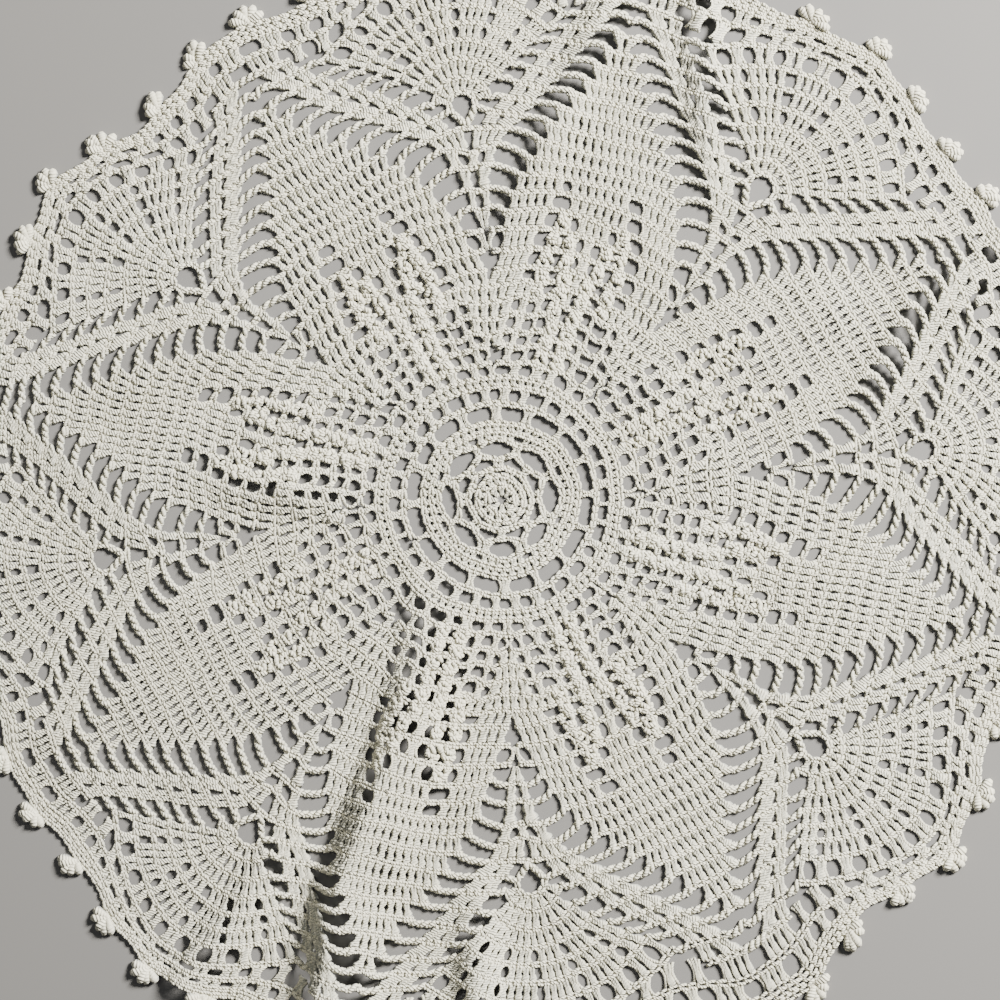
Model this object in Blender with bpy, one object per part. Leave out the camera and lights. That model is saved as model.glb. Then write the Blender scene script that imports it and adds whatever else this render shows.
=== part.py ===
"""A crocheted lace doily, lying flat with a few soft folds. Metres, +Z up.

One closed sheet: eight petals and eight fans round a ringed centre, a scalloped edge with
popcorn picots, and the open gaps of the lace cut through. The layout is drawn once for half a
sector, in millimetres, and then mirrored and turned round; an uneven stretch, a row for each
axis, gives every sector its own size.

Petal coordinates are (u, v): u runs out along a petal's axis and v across it. The inner rounds
are circles, so there u is a radius. Fan coordinates are (a, b): a runs out along a fan's axis.
"""
import math

import bmesh
import bpy
import numpy as np
from mathutils import Vector
from mathutils.geometry import delaunay_2d_cdt

MM = 0.001
SECTORS = 8
HALF_SECTOR = math.pi / SECTORS
SHEET = 2.0            # thickness of the crochet
YARN_WIDTH = 2.1       # a chain, which is what parts two gaps in a ladder
POPCORN_RISE = 1.3     # how far a popcorn stands above the sheet

# ---- the centre -----------------------------------------------------------------------------
# gaps in rings about the middle: count, radius of the ring, width round it, height, turn
CENTRE_GAPS = (
    dict(count=8, radius=11.8, width=5.0, height=2.8, turn=0.5),
    dict(count=8, radius=16.5, width=9.6, height=4.2, turn=0.0),
    dict(count=16, radius=27.4, width=8.2, height=3.6, turn=0.5),
)

# ---- the rounds -----------------------------------------------------------------------------
# how far out the middle of each round lies on a petal's axis; a to z from the centre outwards
ROUND_U = dict(
    a=41.0, b=45.3, c=49.8, d=54.7, e=59.8, f=65.1, g=70.4, h=76.0, i=82.6, j=88.9, k=94.8,
    l=100.2, m=105.4, n=109.8, o=115.4, p=121.0, q=126.6, r=132.2, s=137.8, t=143.5, u=149.4,
    v=154.4, w=159.0, x=164.2, y=169.6, z=173.8,
)
LADDER_ROUNDS = "jklmnopqrstu"
FAN_LADDER_ROUNDS = "qr"
CIRCLES_TO, STRAIGHT_FROM = 94.8, 109.8      # u where rounds stop being circles, and are straight
PETAL_EDGE = dict(u=(69.4, 88.9, 100.2, 105.4, 109.8, 121.0, 132.2, 143.5, 149.4, 154.2),
                  half=(28.8, 27.4, 26.3, 25.0, 23.0, 17.8, 11.1, 5.3, 2.6, 0.0))
LADDER_WIDTH = dict(u=(88.9, 94.8, 100.2, 105.4, 109.8, 132.2, 149.4),
                    width=(4.7, 7.1, 9.2, 10.3, 10.8, 10.6, 9.4))
TRELLIS_WIDTH = 10.3
FAN_LADDER_WIDTH = dict(q=8.2, r=6.4)
RING = dict(a=128.0, radius=3.9)
APEX_GAP = dict(a=75.4, width=3.2, height=5.4)
EYE_GAP = dict(u=70.6, v=14.3, width=4.6, height=5.0)
TIP_GAP = dict(u=158.6, width=9.6, height=4.2)
# popcorns of the tulip on each petal: round, then how far each stands from the axis
TULIP = dict(b=(2.9,), c=(2.9,), d=(2.9,), e=(3.0,), f=(3.4, 9.9), g=(3.6, 10.4), h=(5.6, 11.5),
             i=(6.4, 11.0), j=(10.2,))

# ---- the edge -------------------------------------------------------------------------------
EDGE_AT_FAN, EDGE_AT_PETAL = 183.0, 176.0
PICOTS_PER_SECTOR = 7
PICOT = dict(stem=2.4, half=3.5, mid=3.3, top=6.2, top_half=1.8, dip=0.9)

# ---- the uneven stretch ---------------------------------------------------------------------
# Drawn radii, then where they come to lie on each axis. A row is a fan's axis, then the petal's
# axis after it: its turn from an even eighth at the inner and the outer radius, in degrees, and
# how deep the edge dips between it and the next axis.
CENTRE_RADIUS, CENTRE_TURN = 38.7, 3.0
FAN_RADII = (75.2, 128.0, 183.0)
PETAL_RADII = (75.2, 153.6, 176.0)
DIP_FROM, DIP_FULL = 138.0, 180.0
FANS = (
    dict(inner_turn=6.4, turn=6.7, apex=82.8, ring=136.3, edge=188.0, dip=6.0),
    dict(inner_turn=2.6, turn=4.9, apex=78.4, ring=129.6, edge=185.0, dip=3.5),
    dict(inner_turn=3.1, turn=5.4, apex=75.8, ring=127.0, edge=180.8, dip=6.0),
    dict(inner_turn=7.8, turn=9.9, apex=74.7, ring=122.6, edge=174.5, dip=6.5),
    dict(inner_turn=8.2, turn=8.6, apex=80.8, ring=128.3, edge=181.0, dip=6.0),
    dict(inner_turn=6.2, turn=8.1, apex=81.0, ring=134.1, edge=187.0, dip=5.0),
    dict(inner_turn=2.9, turn=4.5, apex=75.3, ring=123.5, edge=178.0, dip=6.0),
    dict(inner_turn=6.0, turn=6.8, apex=75.4, ring=128.0, edge=183.0, dip=6.0),
)
PETALS = (
    dict(inner_turn=4.0, turn=6.3, eye=78.4, tip=157.4, edge=181.5, dip=3.5),
    dict(inner_turn=3.0, turn=7.2, eye=77.8, tip=154.6, edge=179.0, dip=6.0),
    dict(inner_turn=4.8, turn=8.8, eye=72.6, tip=146.9, edge=172.0, dip=9.0),
    dict(inner_turn=8.3, turn=10.8, eye=75.7, tip=153.0, edge=175.0, dip=6.0),
    dict(inner_turn=6.1, turn=8.4, eye=79.4, tip=154.4, edge=178.5, dip=5.0),
    dict(inner_turn=3.2, turn=6.1, eye=76.3, tip=157.8, edge=184.0, dip=6.0),
    dict(inner_turn=3.6, turn=7.2, eye=73.7, tip=151.4, edge=186.0, dip=8.5),
    dict(inner_turn=5.7, turn=8.2, eye=75.2, tip=154.1, edge=177.0, dip=6.0),
)

# ---- the folds ------------------------------------------------------------------------------
# Each is a ridge along its points (x, y, height); left and right are the widths of its slopes,
# seen looking along it.
FOLD_STEP = 8.0        # between the points that bend the sheet along a fold
POINT_CLEARANCE = 0.7  # from such a point to the nearest gap
FOLDS = (
    dict(left=24.0, right=11.0, line=((-23.0, -22.0, 0.0), (-25.5, -50.0, 4.0),
         (-35.5, -86.0, 7.5), (-50.0, -122.0, 9.0), (-62.0, -185.0, 9.5))),
    dict(left=12.0, right=10.0, line=((-6.0, -112.0, 0.0), (-7.5, -145.0, 4.0), (-7.0, -190.0, 6.0))),
    dict(left=11.0, right=10.0, line=((-62.0, -100.0, 0.0), (-80.0, -128.0, 4.0),
         (-112.0, -170.0, 5.0))),
    dict(left=10.0, right=13.0, line=((-40.0, -3.0, 0.0), (-68.0, 3.0, 2.6), (-100.0, 8.0, 0.0))),
    dict(left=10.0, right=11.0, line=((112.0, 30.0, 0.0), (134.0, 57.0, 3.6), (176.0, 92.0, 4.0))),
    dict(left=9.0, right=12.0, line=((-4.0, 78.0, 0.0), (14.0, 112.0, 2.6), (40.0, 170.0, 2.6))),
    dict(left=9.0, right=10.0, line=((68.0, 88.0, 0.0), (66.0, 125.0, 3.0), (62.0, 185.0, 3.0))),
)


def smooth(share):
    """0 to 1 with a level start and end."""
    share = np.clip(share, 0.0, 1.0)
    return share * share * (3 - 2 * share)


def fan_frame(u, v):
    """Petal coordinates as (a, b) from the nearest fan's axis."""
    c, s = math.cos(HALF_SECTOR), math.sin(HALF_SECTOR)
    return u * c + v * s, u * s - v * c


def row_point(u, v):
    """The (a, b) of the point v across the round that crosses the petal's axis at u."""
    share = 1 - (u - CIRCLES_TO) / (STRAIGHT_FROM - CIRCLES_TO)
    sag = max(0.0, min(1.0, share))
    return fan_frame(u - sag * (u - math.sqrt(u * u - v * v)), v)


def band(name):
    """The lower and upper u of a round."""
    names = list(ROUND_U)
    at = names.index(name)
    below, here, above = (ROUND_U[n] for n in names[at - 1:at + 2])
    return (below + here) / 2, (here + above) / 2


def petal_half(u):
    return float(np.interp(u, PETAL_EDGE["u"], PETAL_EDGE["half"]))


def ladder_width(u):
    return float(np.interp(u, LADDER_WIDTH["u"], LADDER_WIDTH["width"]))


# ---- the gaps of half a sector, as outlines in fan coordinates ------------------------------
def ladder_gap(name):
    """Between two chains that join a petal to the trellis: square at the petal, pointed outside."""
    low, high = band(name)
    low, high = low + YARN_WIDTH / 2, high - YARN_WIDTH / 2
    middle = (low + high) / 2
    far = petal_half(middle) + ladder_width(middle)
    return [row_point(low, petal_half(low) + 0.4), row_point(high, petal_half(high) + 0.4),
            row_point(high - 0.3, far - 2.0), row_point(middle, far - 0.3),
            row_point(low + 0.7, far - 1.6)]


def fan_ladder_gap(name):
    """Between two chains that join the trellis to a fan."""
    low, high = band(name)
    low, high = low + YARN_WIDTH / 2, high - YARN_WIDTH / 2
    middle = (low + high) / 2
    near = petal_half(middle) + ladder_width(middle) + TRELLIS_WIDTH
    far = near + FAN_LADDER_WIDTH[name]
    return [row_point(low, near + 0.6), row_point(high, near), row_point(high - 0.4, far - 1.4),
            row_point(middle, far - 0.4)]


def diamond(a, b, width, height):
    """A gap with its points along and across the fan's axis; width is across it."""
    return [(a - height / 2, b - width * 0.28), (a, b - width / 2), (a + height / 2, b - width * 0.2),
            (a + height / 2, b + width * 0.28), (a, b + width / 2), (a - height / 2, b + width * 0.2)]


def on_petal(points):
    """Points about a petal's axis, as (u, v), in fan coordinates."""
    return [fan_frame(u, v) for u, v in points]


def half_sector_gaps():
    gaps = [ladder_gap(name) for name in LADDER_ROUNDS]
    gaps += [fan_ladder_gap(name) for name in FAN_LADDER_ROUNDS]
    eye = diamond(EYE_GAP["u"], EYE_GAP["v"], EYE_GAP["width"], EYE_GAP["height"])
    return gaps + [on_petal(eye)]


def axis_gaps():
    """The gaps that lie across a fan's or a petal's axis."""
    ring = [(RING["a"] + RING["radius"] * math.cos(turn), RING["radius"] * math.sin(turn))
            for turn in np.linspace(0, 2 * math.pi, 8, endpoint=False)]
    half, tall = APEX_GAP["width"] / 2, APEX_GAP["height"] / 2
    apex = [(APEX_GAP["a"] - tall, -half), (APEX_GAP["a"] + tall, -half),
            (APEX_GAP["a"] + tall, half), (APEX_GAP["a"] - tall, half)]
    tip = diamond(TIP_GAP["u"], 0.0, TIP_GAP["width"], TIP_GAP["height"])
    return [ring, apex, on_petal(tip)]


def centre_gaps():
    for ring in CENTRE_GAPS:
        step = 2 * math.pi / ring["count"]
        half_turn = ring["width"] / ring["radius"] / 2
        inner, outer = ring["radius"] - ring["height"] / 2, ring["radius"] + ring["height"] / 2
        for at in range(ring["count"]):
            middle = (at + ring["turn"]) * step
            points = ((ring["radius"], -half_turn), (outer, -half_turn * 0.5),
                      (outer, half_turn * 0.5), (ring["radius"], half_turn),
                      (inner, half_turn * 0.5), (inner, -half_turn * 0.5))
            yield [(r * math.cos(middle + t), r * math.sin(middle + t)) for r, t in points]


# ---- the whole doily, before and after the uneven stretch -----------------------------------
def turned(points, sector, mirror=False):
    angle = 2 * HALF_SECTOR * sector
    c, s = math.cos(angle), math.sin(angle)
    side = -1 if mirror else 1
    return [(a * c - side * b * s, a * s + side * b * c) for a, b in points]


def stretch(x, y):
    """Drawn points moved to where they lie in the real, uneven doily."""
    radius, angle = np.hypot(x, y), np.arctan2(y, x)
    moved, turns, dips = [], [], []
    for fan, petal in zip(FANS, PETALS):
        for row, drawn, real in (
            (fan, FAN_RADII, (fan["apex"], fan["ring"], fan["edge"])),
            (petal, PETAL_RADII, (petal["eye"], petal["tip"], petal["edge"])),
        ):
            knots = (0.0, CENTRE_RADIUS) + drawn + (2 * drawn[-1],)
            reached = (0.0, CENTRE_RADIUS) + real + (real[-1] + drawn[-1],)
            moved.append(np.interp(radius, knots, reached))
            inner = np.interp(radius, (CENTRE_RADIUS, drawn[0]), (CENTRE_TURN, row["inner_turn"]))
            outer = smooth((radius - drawn[0]) / (drawn[1] - drawn[0]))
            turns.append(inner + (row["turn"] - row["inner_turn"]) * outer)
            dips.append(row["dip"])
    moved, turns, dips = np.stack(moved), np.stack(turns), np.array(dips)
    place = angle / HALF_SECTOR
    before = np.floor(place).astype(int) % len(dips)
    after = (before + 1) % len(dips)
    share = smooth(place - np.floor(place))
    column = np.arange(len(radius))
    dip = dips[before] * np.sin(math.pi * (place - np.floor(place))) ** 2
    dip = dip * smooth((radius - DIP_FROM) / (DIP_FULL - DIP_FROM))
    radius = moved[before, column] * (1 - share) + moved[after, column] * share - dip
    angle = angle + np.radians(turns[before, column] * (1 - share) + turns[after, column] * share)
    return radius * np.cos(angle), radius * np.sin(angle)


def fold_height(x, y):
    """How far the folds lift the cloth off what it lies on."""
    height = np.zeros_like(x)
    for fold in FOLDS:
        nearest = np.full_like(x, np.inf)
        lift = np.zeros_like(x)
        for (x0, y0, z0), (x1, y1, z1) in zip(fold["line"], fold["line"][1:]):
            dx, dy = x1 - x0, y1 - y0
            length = math.hypot(dx, dy)
            along = np.clip(((x - x0) * dx + (y - y0) * dy) / length ** 2, 0, 1)
            away = np.hypot(x - x0 - along * dx, y - y0 - along * dy)
            on_left = dx * (y - y0) - dy * (x - x0) > 0
            width = np.where(on_left, fold["left"], fold["right"])
            top = z0 + (z1 - z0) * along
            here = top * smooth(1 - away / width)
            closer = away < nearest
            lift = np.where(closer, here, lift)
            nearest = np.where(closer, away, nearest)
        height = np.maximum(height, lift)
    return height


def drawn_outline():
    """The scalloped edge: a popcorn picot every few stitches and a dip between two."""
    points = []
    count = PICOTS_PER_SECTOR * SECTORS
    for at in range(count):
        middle = 2 * math.pi * at / count
        swing = (1 + math.cos(SECTORS * middle)) / 2
        edge = EDGE_AT_PETAL + (EDGE_AT_FAN - EDGE_AT_PETAL) * swing
        next_dip = math.pi / count * edge
        for across, out in ((-PICOT["stem"], 0.0), (-PICOT["half"], PICOT["mid"]),
                            (-PICOT["top_half"], PICOT["top"]), (PICOT["top_half"], PICOT["top"]),
                            (PICOT["half"], PICOT["mid"]), (PICOT["stem"], 0.0),
                            (next_dip, -PICOT["dip"])):
            angle = middle + across / edge
            points.append(((edge + out) * math.cos(angle), (edge + out) * math.sin(angle)))
    return points


def popcorns():
    """Where the popcorns of the tulips and of the picots stand."""
    points = []
    for sector in range(SECTORS):
        for name, places in TULIP.items():
            for v in places:
                for side in (1, -1):
                    at = [row_point(ROUND_U[name], v)]
                    points += turned(at, sector, mirror=side < 0)
    count = PICOTS_PER_SECTOR * SECTORS
    for at in range(count):
        middle = 2 * math.pi * at / count
        swing = (1 + math.cos(SECTORS * middle)) / 2
        out = EDGE_AT_PETAL + (EDGE_AT_FAN - EDGE_AT_PETAL) * swing + PICOT["mid"]
        points.append((out * math.cos(middle), out * math.sin(middle)))
    return points


def fold_points():
    """Points along each fold's crest, half way down its slopes and at their feet."""
    points = []
    for fold in FOLDS:
        for (x0, y0, _), (x1, y1, _) in zip(fold["line"], fold["line"][1:]):
            dx, dy = x1 - x0, y1 - y0
            length = math.hypot(dx, dy)
            for along in np.arange(0.5, length // FOLD_STEP) * FOLD_STEP / length:
                for away in (0.0, 0.5 * fold["left"], fold["left"], -0.5 * fold["right"],
                             -fold["right"]):
                    points.append((x0 + along * dx - away * dy / length,
                                   y0 + along * dy + away * dx / length))
    return points


def plain_points():
    """Points inside the closely worked parts, so that the folds can bend them."""
    points = [(0.0, 0.0)]
    points += [(22.0 * math.cos(t), 22.0 * math.sin(t)) for t in np.arange(8) * math.pi / 4]
    petal = ((98.0, 0.0), (98.0, 13.0), (110.0, 7.0), (122.0, 0.0), (122.0, 9.0), (136.0, 0.0))
    fan = ((64.0, 0.0), (140.0, 0.0), (142.0, 12.0), (156.0, 0.0), (158.0, 16.0), (170.0, 8.0))
    for sector in range(SECTORS):
        for mirror in (False, True):
            points += turned([fan_frame(u, v) for u, v in petal if v or mirror], sector, mirror)
            points += turned([(a, b) for a, b in fan if b or mirror], sector, mirror)
    return points


def inside(point, loop):
    x, y = point
    found = False
    for (x0, y0), (x1, y1) in zip(loop, loop[1:] + loop[:1]):
        if (y0 > y) != (y1 > y) and x < (x1 - x0) * (y - y0) / (y1 - y0) + x0:
            found = not found
    return found


def laid_out(points):
    """Drawn points after the uneven stretch."""
    x, y = stretch(*np.array(points, float).T)
    return list(zip(x.tolist(), y.tolist()))


def box_middle(points):
    """The middle of the points' box, which becomes the origin."""
    spread = np.array(points)
    return (spread.min(axis=0) + spread.max(axis=0)) / 2


def clear_of(points, loops):
    """The points that aren't almost on an outline."""
    starts = np.concatenate([np.array(loop) for loop in loops])
    ends = np.concatenate([np.roll(np.array(loop), -1, axis=0) for loop in loops])
    span = ends - starts
    clear = []
    for point in points:
        along = ((point - starts) * span).sum(axis=1) / (span ** 2).sum(axis=1)
        nearest = starts + span * np.clip(along, 0, 1)[:, None]
        if np.hypot(*(nearest - point).T).min() > POINT_CLEARANCE:
            clear.append(point)
    return clear


def doily_faces():
    """The lace laid flat: its gaps' count, outline, points, triangles, which points are popcorns."""
    gaps = list(centre_gaps())
    for sector in range(SECTORS):
        gaps += [turned(gap, sector) for gap in axis_gaps()]
        for gap in half_sector_gaps():
            gaps += [turned(gap, sector), turned(gap, sector, mirror=True)]
    loops = [laid_out(drawn_outline())] + [laid_out(gap) for gap in gaps]
    raised = laid_out(popcorns())
    plain = clear_of(laid_out(plain_points()) + fold_points(), loops)
    points, edges = [], []
    for loop in loops:
        first = len(points)
        points += loop
        edges += [(first + at, first + (at + 1) % len(loop)) for at in range(len(loop))]
    first_raised = len(points)
    points += raised + plain
    made = delaunay_2d_cdt([Vector(p) for p in points], edges, [], 0, 1e-4)
    found, faces, sources = made[0], made[2], made[3]
    boxes = [np.array(loop) for loop in loops]
    boxes = [(box.min(axis=0), box.max(axis=0)) for box in boxes]
    kept = []
    for face in faces:
        middle = sum((found[at] for at in face), Vector((0, 0))) / len(face)
        if not inside(middle, loops[0]):
            continue
        near = [loop for loop, (low, high) in zip(loops[1:], boxes[1:])
                if low[0] < middle.x < high[0] and low[1] < middle.y < high[1]]
        if not any(inside(middle, loop) for loop in near):
            kept.append(face)
    is_raised = [any(first_raised <= at < first_raised + len(raised) for at in source)
                 for source in sources]
    return len(gaps), loops[0], found, kept, is_raised


def crochet_cotton():
    material = bpy.data.materials.new("ecru cotton")
    material.use_nodes = True
    shader = material.node_tree.nodes["Principled BSDF"]
    shader.inputs["Base Color"].default_value = (0.78, 0.74, 0.66, 1)
    shader.inputs["Roughness"].default_value = 0.85
    shader.inputs["Metallic"].default_value = 0.0
    return material


def make_doily():
    gap_count, outline, points, faces, is_raised = doily_faces()
    across, along = box_middle(outline)
    build = bmesh.new()
    under = [build.verts.new((p.x, p.y, 0.0)) for p in points]
    for face in faces:
        build.faces.new([under[at] for at in face])
    index_of = {(p.x, p.y): at for at, p in enumerate(points)}
    grown = bmesh.ops.extrude_face_region(build, geom=list(build.faces))
    upper = {part for part in grown["geom"] if isinstance(part, bmesh.types.BMVert)}
    bmesh.ops.delete(build, geom=[v for v in build.verts if not v.link_faces], context="VERTS")
    lift = fold_height(np.array([p.x for p in points]), np.array([p.y for p in points]))
    for vert in build.verts:
        at = index_of[(vert.co.x, vert.co.y)]
        top = SHEET + POPCORN_RISE * is_raised[at] if vert in upper else 0.0
        vert.co = (vert.co.x - across, vert.co.y - along, lift[at] + top)
    bmesh.ops.scale(build, vec=(MM, MM, MM), verts=list(build.verts))
    bmesh.ops.recalc_face_normals(build, faces=list(build.faces))
    mesh = bpy.data.meshes.new("doily")
    build.to_mesh(mesh)
    build.free()
    mesh.materials.append(crochet_cotton())
    doily = bpy.data.objects.new("doily", mesh)
    bpy.context.scene.collection.objects.link(doily)
    print(gap_count, "gaps; the middle is at", across, along)


def main():
    for obj in list(bpy.data.objects):
        bpy.data.objects.remove(obj, do_unlink=True)
    make_doily()


main()
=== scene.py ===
import cmath
import math

import bpy
import numpy as np
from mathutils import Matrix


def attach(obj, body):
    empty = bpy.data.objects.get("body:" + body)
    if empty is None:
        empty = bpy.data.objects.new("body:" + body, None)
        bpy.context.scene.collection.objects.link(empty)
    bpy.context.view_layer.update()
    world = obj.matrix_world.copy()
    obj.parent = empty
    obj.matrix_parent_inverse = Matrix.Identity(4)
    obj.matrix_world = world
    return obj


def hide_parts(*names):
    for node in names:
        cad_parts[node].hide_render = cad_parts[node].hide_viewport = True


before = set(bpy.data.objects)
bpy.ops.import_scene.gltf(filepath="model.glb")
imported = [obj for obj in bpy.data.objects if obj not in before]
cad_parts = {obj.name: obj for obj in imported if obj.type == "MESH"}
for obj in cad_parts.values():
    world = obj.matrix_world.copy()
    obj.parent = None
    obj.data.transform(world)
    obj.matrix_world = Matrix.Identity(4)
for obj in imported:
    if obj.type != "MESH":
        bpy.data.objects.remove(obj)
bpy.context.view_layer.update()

MM = 0.001
SECTORS = 8
HALF_SECTOR = math.pi / SECTORS
DRAWN_MIDDLE = (-3.859, -1.256)   # where the middle of the drawing lies in the CAD's frame, mm
SEED = 11

# ---- the yarn --------------------------------------------------------------------
POST_PITCH = 2.5          # from one double crochet to the next
CHAIN_PITCH = 2.6         # the length of one chain stitch
CHAIN_YARN = 0.56         # half the width of a strand in a chain
CORD_YARN = 0.82          # half the width of a strand in a free chain
PLY_PITCH = 1.5           # the length of one twist of the plies
LEAST_POST = 0.3          # a space wider than this share of a post still gets one
HOLE_EASE = 0.6           # a hole is laid out this much wider, as the strands bulge into it
SLIT = 2.2                # a hole no wider than this needs no rims
HOLE_WANDER, HOLE_SPREAD = 0.22, 0.12      # spread of a hole's place, in mm, and share of its width

# ---- the centre: rounds about the middle, by the radius of their heads -----------
CENTRE_FOOT = 0.9
CENTRE_HOLES_ASIDE = 3    # holes laid out on each side of a fan's axis; the sector cuts some off
# wave: how much further out a round runs at the fans' axes; count, turn and width: how many holes
# lie round the circle, how far the first is turned from a fan's axis, as a share of the step
# between them, and how wide each is
CENTRE_ROUNDS = (
    dict(out=4.6, wave=0.0, count=0, turn=0.0, width=0.0),
    dict(out=7.3, wave=0.0, count=0, turn=0.0, width=0.0),
    dict(out=9.9, wave=0.3, count=8, turn=0.0, width=3.4),
    dict(out=13.7, wave=-1.3, count=8, turn=0.5, width=4.8),
    dict(out=19.1, wave=0.9, count=8, turn=0.0, width=9.9),
    dict(out=22.1, wave=0.3, count=8, turn=0.5, width=1.5),
    dict(out=24.8, wave=0.1, count=0, turn=0.0, width=0.0),
    dict(out=30.7, wave=0.0, count=16, turn=0.5, width=8.3),
    dict(out=36.0, wave=0.0, count=32, turn=0.0, width=3.8),
    dict(out=38.9, wave=0.0, count=0, turn=0.0, width=0.0),
)

# ---- the rounds of the petals ----------------------------------------------------
# where each round crosses its petal's axis
ROUND_U = dict(
    a=41.0, b=45.3, c=49.8, d=54.7, e=59.8, f=65.1, g=70.4, h=76.0, i=82.6, j=88.9, k=94.8,
    l=100.2, m=105.4, n=109.8, o=115.4, p=121.0, q=126.6, r=132.2, s=137.8, t=143.5, u=149.4,
    v=154.4, w=159.0, x=164.2,
)
PETAL_ROUNDS = "abcdefghijklmnopqrstuv"      # the rounds that are worked across a petal
LADDERS_FROM, LAST_ROUND = "j", "w"          # where the ladders start, and the round past the tip
CENTRE_EDGE = 38.9
CIRCLES_TO, STRAIGHT_FROM = 94.8, 109.8      # u where rounds stop being circles, and are straight
PETAL_EDGE = dict(u=(69.4, 88.9, 100.2, 105.4, 109.8, 121.0, 132.2, 143.5, 149.4, 154.2),
                  half=(28.8, 27.4, 26.3, 25.0, 23.0, 17.8, 11.1, 5.3, 2.6, 0.0))
LADDER_WIDTH = dict(u=(88.9, 94.8, 100.2, 105.4, 109.8, 132.2, 149.4, 154.4, 159.0),
                    width=(4.7, 7.1, 9.2, 10.3, 10.8, 10.6, 9.4, 9.0, 4.8))
TRELLIS_WIDTH = 10.3
TRELLIS_FILLED = 1.3      # a trellis wider than this many V stitches has posts beside them
# the chains of the inner ladders slope: so far inwards at the petal, and outwards at the trellis
LADDER_SLOPE = dict(u=(85.8, 92.0, 107.0, 118.0), out=(0.0, 1.7, 1.7, 0.2))
SLOPE_WITHIN = 8.0        # how far inside the petal its rows start to bend down to the ladder
# the posts near a petal's side lean with it, by this power of how near they are; its tip counts
# as no narrower than so much
LEAN_POWER, NARROWEST = 3, 0.1
# holes of a petal's rounds as (v, width), alike on both sides of its axis
PETAL_HOLES = dict(
    a=((0.0, 0.8), (6.1, 4.0), (12.7, 3.5)),
    b=((0.0, 2.0), (6.1, 2.3), (10.9, 3.4), (15.7, 1.9)),
    c=((0.0, 1.5), (6.1, 2.3), (10.9, 3.5), (15.7, 1.9)),
    d=((0.0, 1.4), (6.1, 2.3), (10.9, 3.4), (15.7, 1.9)),
    e=((0.0, 1.2), (6.1, 2.2), (10.9, 3.2), (15.9, 1.7)),
    f=((0.0, 0.7), (7.0, 1.0)),
    g=((7.0, 1.2), (14.3, 4.8)),
    h=((2.6, 2.2), (8.5, 1.3), (14.8, 3.4)),
    i=((3.0, 2.4), (8.7, 1.2), (14.6, 3.6)),
    j=((6.4, 2.8), (13.6, 3.4)),
    k=((11.7, 5.4),),
    l=((10.7, 4.2),),
)
# popcorns of the tulip on each petal: round, then how far each stands from the axis
TULIP = dict(b=(2.9,), c=(2.9,), d=(2.9,), e=(3.0,), f=(3.4, 9.9), g=(3.6, 10.4), h=(5.6, 11.5),
             i=(6.4, 11.0), j=(10.2,))
# holes near a fan's axis as (distance from the axis, width)
VALLEY_HOLES = dict(h=((0.0, 3.2),), i=((3.2, 3.0),), k=((0.0, 0.6),), l=((0.0, 1.2),),
                    m=((2.9, 2.0),), n=((0.0, 3.6),))
# the holes of the tulip's stem stand in columns, and every other column lies further out; this
# grows over the first so many mm of u, and dies out again over the second
COLUMNS = dict(v=(0.0, 6.1, 10.9, 15.7, 19.0), out=(0.0, 2.6, 0.0, 2.6, 0.0))
COLUMNS_START, COLUMNS_END = dict(u=41.0, over=5.0), dict(u=64.0, over=8.0)
# the hole in a V stitch, how far its feet are drawn in, how far its posts overlap, and how far
# its head leans out over the ladder
V_STITCH = dict(hole=2.5, foot=1.1, overlap=0.25, lean=1.2)
# how far the chains of the ladders arch outwards, beside a petal and beside a fan, and where the
# arch is highest: below 1 is nearer its start
PETAL_ARCH, FAN_ARCH, ARCH_SKEW = 1.0, 0.7, 0.75
# the rounds whose trellis reaches the fan's axis, and how far their foot and their head dip
# towards the middle there; the dip grows with this power of the way to the axis
AXIS_DIPS = dict(j=(0.0, 0.0), k=(0.0, 0.0), l=(0.0, 0.0), m=(0.0, 2.6), n=(2.6, 2.2))
DIP_POWER = 1.5

# ---- the fans, by distance and angle from the middle of the ring in each ---------
# the ring's middle lies at a; chains run to its shoulders from the trellis of its round, and from
# bottom on the fan's axis
RING = dict(a=128.0, radius=4.6, shoulder=105.0, bottom=120.4, round="o")
# a row is joined to the trellis of the round of the same name
FAN_ROWS = (
    dict(name="p", low=4.6, high=9.0, half=84.0),
    dict(name="q", low=9.0, high=14.7, half=62.0),
    dict(name="r", low=14.7, high=20.5, half=60.0),
    dict(name="s", low=20.5, high=26.6, half=59.5),
    dict(name="t", low=26.6, high=32.6, half=58.0),
    dict(name="u", low=32.6, high=39.0, half=57.0),
)
SPOKES = dict(rows="stu", angles=(-45.0, -22.5, 0.0, 22.5, 45.0), width=1.7)
MESH_ROW = dict(name="v", low=39.0, high=46.4, half=57.0, count=10, step=11.5, width=3.7)

# ---- the border, by turn from a fan's axis ---------------------------------------
EDGE_AT_FAN, EDGE_AT_PETAL = 183.0, 176.0
BORDER_FROM = 160.6        # where the border starts beyond a petal's tip
BORDER_MIDDLE = 172.0      # the radius at which places along the border are measured
# low and high are shares of the border, and holes are (degrees from the fan's axis, width)
BORDER_ROWS = (
    dict(low=0.0, high=0.45, holes=((0.0, 4.8), (3.1, 4.8), (6.25, 4.8), (9.3, 4.6), (12.1, 4.4),
                                    (14.8, 4.0), (17.4, 4.6), (22.5, 5.6))),
    dict(low=0.45, high=0.79, holes=((1.6, 2.6), (4.7, 2.8), (7.8, 3.0), (10.8, 3.2), (13.5, 3.6),
                                     (16.1, 4.2), (20.2, 5.4))),
)
EDGE_CHAINS = (0.88, 1.0)          # where chains run along the edge, as shares of the border
PICOTS_PER_SECTOR, PICOT_DIP = 7, 1.2       # the edge dips so far between two picots

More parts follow.
